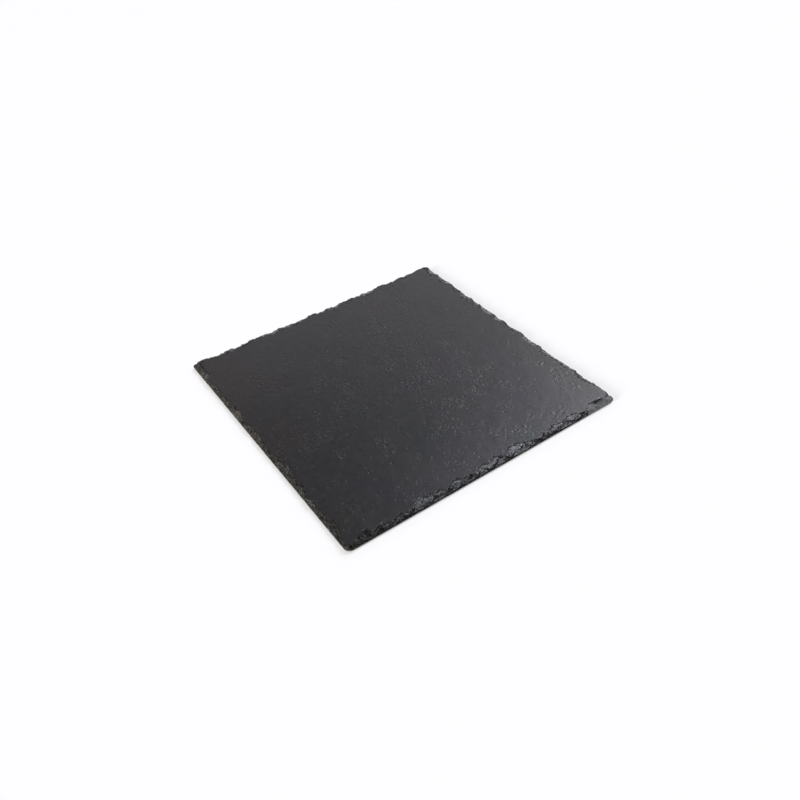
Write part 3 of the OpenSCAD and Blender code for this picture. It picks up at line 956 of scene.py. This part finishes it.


# The split faces: nearly black grey with a silky sheen, whose tint drifts, slow warm and cool patches and
# sparse pale flecks. Where a flake has come off, the fresh stone is paler and more matt, made of small
# chips, each with its own tone and tilt, with painted shade in the creases and a painted highlight along the
# ridges. On steep faces it is painted nearly black, a painted shade, and patches and speckle darken it at
# random; along the right and back sides, which face the light, it is painted paler. A hollow scar's tread
# has no chips.
def cleavedSlate(values):
    material, tree, shader = newMaterial("slateCleaved")
    broken, ridge, paleAndLit = (pointValue(tree, name) for name in ("broken", "ridge", "freshAndLit"))
    chipped = multiply(tree, broken, pointValue(tree, "chipped"))
    rough = dict(values, grit=multiplyAdd(tree, chipped, values["brokenGrit"], values["grit"]))
    grain = grainNode(tree, rough, multiply(tree, chipped, values["facets"]))
    face = mixColour(tree, grain["Warm Side"], values["cool"], values["warm"])
    frontPatch = multiply(tree, grain["Front Patch"], grain["Patches"])
    # the face is lighter in a patch near the front
    face = mixColour(tree, frontPatch, face, values["frontPatchColour"], "ADD")
    face = scaleColour(tree, face, rampNode(tree, grain["Fine Tone"], *values["fineTone"]))
    face = mixColour(tree, multiply(tree, grain["Flecks"], values["fleckShare"]), face, values["fleck"])
    freshAndLit = mixColour(tree, grain["Warm Side"], values["pale"], values["paleWarm"])
    # painted highlight along the ridges and painted shade in the creases
    freshAndLit = scaleColour(tree, freshAndLit, rampNode(tree, ridge, *values["ridgeHighlightCreaseShade"]))
    # along the right and back sides, which face the light, this paleness is painted light
    freshAndLit = scaleColour(tree, freshAndLit, paleAndLit)
    chipTone = multiply(tree, rampNode(tree, grain["Rise"], *values["riseTone"]),
                        rampNode(tree, grain["Chip Tone"], *values["chipTone"]))
    freshAndLit = scaleColour(tree, freshAndLit, mixValue(tree, chipped, values["treadTone"], chipTone))
    # Steep faces get the dark tone, a painted shade; patches and speckle also darken the fresh stone at
    # random.
    paleShare = pointValue(tree, "level")
    for source, key in ((grain["Patches"], "palePatches"), (grain["Speckle"], "paleSpeckle"),
                        (paleAndLit, "paleLitSides")):
        paleShare = multiply(tree, paleShare, rampNode(tree, source, *values[key]))
    paleShare = mixValue(tree, chipped, 1.0, paleShare)
    freshAndLit = mixColour(tree, paleShare, scaleColour(tree, freshAndLit, values["darkShare"]), freshAndLit)
    sheen = rampNode(tree, grain["Fine Tone"], *values["sheen"])
    crease = mixValue(tree, paleShare, values["creaseSpecular"], values["specular"])
    teal, purple = (rampNode(tree, grain["Hue"], *values[key]) for key in ("tealHue", "purpleHue"))
    tint = mixColour(tree, teal, (1.0, 1.0, 1.0), values["tealSheen"])
    tint = mixColour(tree, purple, tint, values["purpleSheen"])
    tint = mixColour(tree, grain["Olive Side"], tint, values["oliveSheen"])
    setSockets(tree, shader, {
        "Base Color": mixColour(tree, broken, face, freshAndLit),
        "Roughness": mixValue(tree, broken, sheen, values["brokenRoughness"]),
        "Specular IOR Level": mixValue(tree, broken, values["specular"], crease),
        "Specular Tint": tint,
        "Normal": bumpNode(tree, grain["Height"]),
    })
    return material


brokenStone = {
    # dark partly for the stone and partly a painted shade; warm is also about three times paler, painted
    # light on the left side
    "cool": (0.0200, 0.0203, 0.0212),
    "warm": (0.0600, 0.0555, 0.0475),
    "chipTone": (0.0, 1.0, 0.3, 1.7),
    "pale": (0.09, 0.09, 0.09),
    "lines": (0.52, 0.74, 0.0, 0.45),
    # a painted highlight: pale speckled spots on the ridges
    "ridgeHighlightRamp": (0.15, 0.5),
    "ridgeHighlightSpeckle": (0.45, 0.65),
    "ridgeHighlightShare": 0.5,
    "smooth": (0.24, 0.24, 0.238),  # a hollow scar's wall
    "smoothTone": (0.0, 1.0, 0.75, 1.2),
    "smoothBorder": (0.8, 1.25),
    "borderSpeckle": 1.2,
    "roughness": (0.3, 0.7, 0.84, 0.96),
    "specular": 0.12,
    "scales": 0.05,
    "grit": 0.14,
    "layers": 0.18,
    "facets": 0.2,
}


# The walls broken across the layers: matt and dark, the dark partly the stone's and partly a painted shade,
# with the layers' edges showing as fine paler lines and speckled pale ridges, a painted highlight. On the
# left side they are warmer and painted paler, for the light falling there. A hollow scar's wall is pale and
# plain, and speckle makes its border ragged.
def brokenSlate(values):
    material, tree, shader = newMaterial("slateBroken")
    grain = grainNode(tree, values, values["facets"])
    # The dark tone is partly the stone's and partly painted shade; on the left side it is warmer and paler,
    # the paleness painted light for the light falling there.
    base = mixColour(tree, grain["Warm Side"], values["cool"], values["warm"])
    base = scaleColour(tree, base, rampNode(tree, grain["Chip Tone"], *values["chipTone"]))
    lined = mixColour(tree, rampNode(tree, grain["Layer Lines"], *values["lines"]), base, values["pale"])
    # painted highlight: the ridges turn pale in speckled spots
    ridgeHighlight = multiply(tree, rampNode(tree, pointValue(tree, "ridge"), *values["ridgeHighlightRamp"]),
                      rampNode(tree, grain["Speckle"], *values["ridgeHighlightSpeckle"]))
    linedAndHighlighted = mixColour(tree, multiply(tree, ridgeHighlight, values["ridgeHighlightShare"]), lined, values["pale"])
    smooth = scaleColour(tree, values["smooth"], rampNode(tree, grain["Chip Tone"], *values["smoothTone"]))
    border = multiplyAdd(tree, grain["Speckle"], values["borderSpeckle"], pointValue(tree, "chipped"))
    setSockets(tree, shader, {
        "Base Color": mixColour(tree, rampNode(tree, border, *values["smoothBorder"]), smooth, linedAndHighlighted),
        "Roughness": rampNode(tree, grain["Fine Tone"], *values["roughness"]),
        "Specular IOR Level": values["specular"],
        "Normal": bumpNode(tree, grain["Height"]),
    })
    return material


slateBoard.data.materials.append(cleavedSlate(cleaved))
slateBoard.data.materials.append(brokenSlate(brokenStone))
slateBoard.data.polygons.foreach_set("material_index", steepFaces.astype(np.int32))
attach(slateBoard, "root")
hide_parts("slate_slab")
print("slate finished")


# The feet and the adhesive under them keep their solids' meshes and get only a finish
rubber = {
    "dark": (0.012, 0.012, 0.013),
    "dusty": (0.05, 0.048, 0.045),
    "dustSize": 3.5,
    "dustRamp": (0.48, 0.8),
    "dustShare": 0.5,
    "roughness": 0.62,
    "dustRoughness": 0.22,
    "specular": 0.4,
    "mouldSize": 0.25,
    "mouldHeight": 0.03,
}


# Dark moulded rubber with some dust in patches
def footRubber(values):
    material, tree, shader = newMaterial("footRubber")
    vector = objectPlace(tree)
    dust = rampNode(tree, noiseNode(tree, vector, values["dustSize"], 4, 0.6), *values["dustRamp"])
    moulded = multiply(tree, noiseNode(tree, vector, values["mouldSize"], 3, 0.6), values["mouldHeight"])
    dusty = multiply(tree, dust, values["dustShare"])
    setSockets(tree, shader, {
        "Base Color": mixColour(tree, dusty, values["dark"], values["dusty"]),
        "Roughness": multiplyAdd(tree, dust, values["dustRoughness"], values["roughness"]),
        "Specular IOR Level": values["specular"],
        "Normal": bumpNode(tree, moulded),
    })
    return material


glue = {
    "clear": (0.55, 0.53, 0.48),
    "cloudy": (0.72, 0.70, 0.64),
    "bubbleSize": 1.1,
    "bubbleRamp": (0.4, 0.7),
    "bubbleHeight": 0.02,
    "roughness": 0.38,
    "bubbleRoughness": 0.2,
}


# Clear film, cloudy where it holds small bubbles
def adhesiveFilm(values):
    material, tree, shader = newMaterial("adhesiveFilm")
    bubbles = noiseNode(tree, objectPlace(tree), values["bubbleSize"], 3, 0.6)
    bubbles = rampNode(tree, bubbles, *values["bubbleRamp"])
    setSockets(tree, shader, {
        "Base Color": mixColour(tree, bubbles, values["clear"], values["cloudy"]),
        "Roughness": multiplyAdd(tree, bubbles, values["bubbleRoughness"], values["roughness"]),
        "Normal": bumpNode(tree, multiply(tree, bubbles, values["bubbleHeight"])),
    })
    return material


footMaterial, filmMaterial = footRubber(rubber), adhesiveFilm(glue)
for name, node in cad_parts.items():
    if name.startswith("foot_"):
        node.data.materials.clear()
        node.data.materials.append(footMaterial)
    elif name.startswith("adhesive_"):
        node.data.materials.clear()
        node.data.materials.append(filmMaterial)
print("feet finished")


# Floor and light. A low strip of light behind the board gives the sheen, a window beyond the right side the
# bright right corner, and a low white sheet on the left fills the shadow, with no mirror image. The rest of
# the room is dark, but gloss sees a dim wall opposite the strip and a dim ceiling too.
studio = {
    "floorSize": 24000.0,
    "floorColour": (0.94, 0.94, 0.94),
    "floorRoughness": 0.9,
    "floorSpecular": 0.1,
    "contactReach": 12.0,
    "contactRamp": (0.15, 0.6),  # how open the floor is, between deep and no contact shadow
    "shadowLift": 0.6,  # share of plain white that the camera sees in the open shadow on the floor
    "stripAzimuth": 35.0,  # directions run from +Y towards +X, in degrees
    "stripFoot": (15.0, 30.0),  # elevations between which the strip brightens
    "stripTop": (32.0, 36.0),  # and between which it fades
    "stripSpread": (-0.25, 0.5),  # cosines of the turn away from it between which it brightens
    "stripStrength": 2.0,
    "stripColour": (1.0, 0.95, 0.97),
    "frontSpread": (-0.6, -0.1, 1.0, 0.0),  # the same cosines for the wall opposite the strip
    "frontSheen": 0.4,
    "ceilingSheen": 0.3,
    "ceilingFoot": (68.0, 80.0),  # elevations between which the ceiling begins
    "ambient": 0.01,
    "lamps": (  # name, azimuth, elevation, width across, strength, colour, and whether gloss mirrors it
        ("window", 75.0, 55.0, 24.0, 1.75, (0.90, 0.90, 1.0), True),
        ("windowEdge", 62.0, 40.0, 16.0, 0.50, (0.90, 0.90, 1.0), True),
        ("leftSheet", -95.0, 20.0, 20.0, 3.45, (1.0, 0.985, 0.955), False),
    ),
}


# The camera sees the floor lifted towards white, but not where the board's contact shadow closes in
def addFloor(values):
    half = values["floorSize"] / 2
    corners = np.array([(-half, -half, 0), (half, -half, 0), (half, half, 0), (-half, half, 0)], float)
    floor = makeMesh("floor", corners, np.array([(0, 1, 2), (0, 2, 3)]))
    material, tree, shader = newMaterial("paleFloor")
    setSockets(tree, shader, {"Base Color": values["floorColour"], "Roughness": values["floorRoughness"],
                              "Specular IOR Level": values["floorSpecular"]})
    shade = addNode(tree, "ShaderNodeAmbientOcclusion")
    shade.inputs["Distance"].default_value = values["contactReach"] * mm
    clear = rampNode(tree, shade.outputs["AO"], *values["contactRamp"], 0.0, values["shadowLift"])
    lift = multiply(tree, clear, addNode(tree, "ShaderNodeLightPath").outputs["Is Camera Ray"])
    white, mixed = addNode(tree, "ShaderNodeEmission"), addNode(tree, "ShaderNodeMixShader")
    setSocket(tree, mixed.inputs[0], lift)
    tree.links.new(shader.outputs[0], mixed.inputs[1])
    tree.links.new(white.outputs[0], mixed.inputs[2])
    tree.links.new(mixed.outputs[0], tree.nodes["Material Output"].inputs["Surface"])
    floor.data.materials.append(material)


# Formula: the unit vector (sin a cos e, cos a cos e, sin e)
def directionTo(azimuth, elevation):
    azimuth, elevation = math.radians(azimuth), math.radians(elevation)
    return Vector((math.sin(azimuth) * math.cos(elevation), math.cos(azimuth) * math.cos(elevation),
                   math.sin(elevation)))


# A far lamp that shines from a direction. Its width across is an angle, which softens the shadows.
def addLamp(name, azimuth, elevation, width, strength, colour, mirrored):
    data = bpy.data.lights.new(name, "SUN")
    data.energy = strength
    data.angle = math.radians(width)
    data.color = colour
    lamp = bpy.data.objects.new(name, data)
    lamp.rotation_euler = directionTo(azimuth, elevation).to_track_quat("Z", "Y").to_euler()
    lamp.visible_glossy = mirrored
    bpy.context.scene.collection.objects.link(lamp)


# The strip lies between two elevations on the side of its azimuth. Only gloss sees the wall opposite it and
# the ceiling, and the camera itself sees a plain white room.
def addRoom(values):
    world = bpy.data.worlds.new("studioRoom")
    world.use_nodes = True
    tree = world.node_tree
    tree.nodes.clear()
    output = addNode(tree, "ShaderNodeOutputWorld")
    direction = addNode(tree, "ShaderNodeSeparateXYZ")
    setSocket(tree, direction.inputs[0], addNode(tree, "ShaderNodeTexCoord").outputs["Generated"])
    foot, top, ceiling = ([math.sin(math.radians(angle)) for angle in values[key]]
                          for key in ("stripFoot", "stripTop", "ceilingFoot"))
    x, y, z = direction.outputs
    ahead = directionTo(values["stripAzimuth"], 0)
    facing = multiplyAdd(tree, x, ahead.x, multiply(tree, y, ahead.y))
    strip = multiply(tree, rampNode(tree, z, *foot), rampNode(tree, z, *top, 1.0, 0.0))
    strip = multiply(tree, strip, rampNode(tree, facing, *values["stripSpread"]))
    strength = multiplyAdd(tree, strip, values["stripStrength"], values["ambient"])
    ray = addNode(tree, "ShaderNodeLightPath").outputs
    for part, sheen in ((rampNode(tree, facing, *values["frontSpread"]), values["frontSheen"]),
                        (rampNode(tree, z, *ceiling), values["ceilingSheen"])):
        strength = multiplyAdd(tree, multiply(tree, part, ray["Is Glossy Ray"]), sheen, strength)
    room, seen = addNode(tree, "ShaderNodeBackground"), addNode(tree, "ShaderNodeBackground")
    setSockets(tree, room, {"Color": values["stripColour"], "Strength": strength})
    setSocket(tree, seen.inputs["Color"], (1, 1, 1))
    choose = addNode(tree, "ShaderNodeMixShader")
    setSocket(tree, choose.inputs[0], ray["Is Camera Ray"])
    tree.links.new(room.outputs[0], choose.inputs[1])
    tree.links.new(seen.outputs[0], choose.inputs[2])
    tree.links.new(choose.outputs[0], output.inputs["Surface"])
    bpy.context.scene.world = world


addFloor(studio)
for lamp in studio["lamps"]:
    addLamp(*lamp)
addRoom(studio)
bpy.context.scene.view_settings.view_transform = "Standard"
print("studio set")
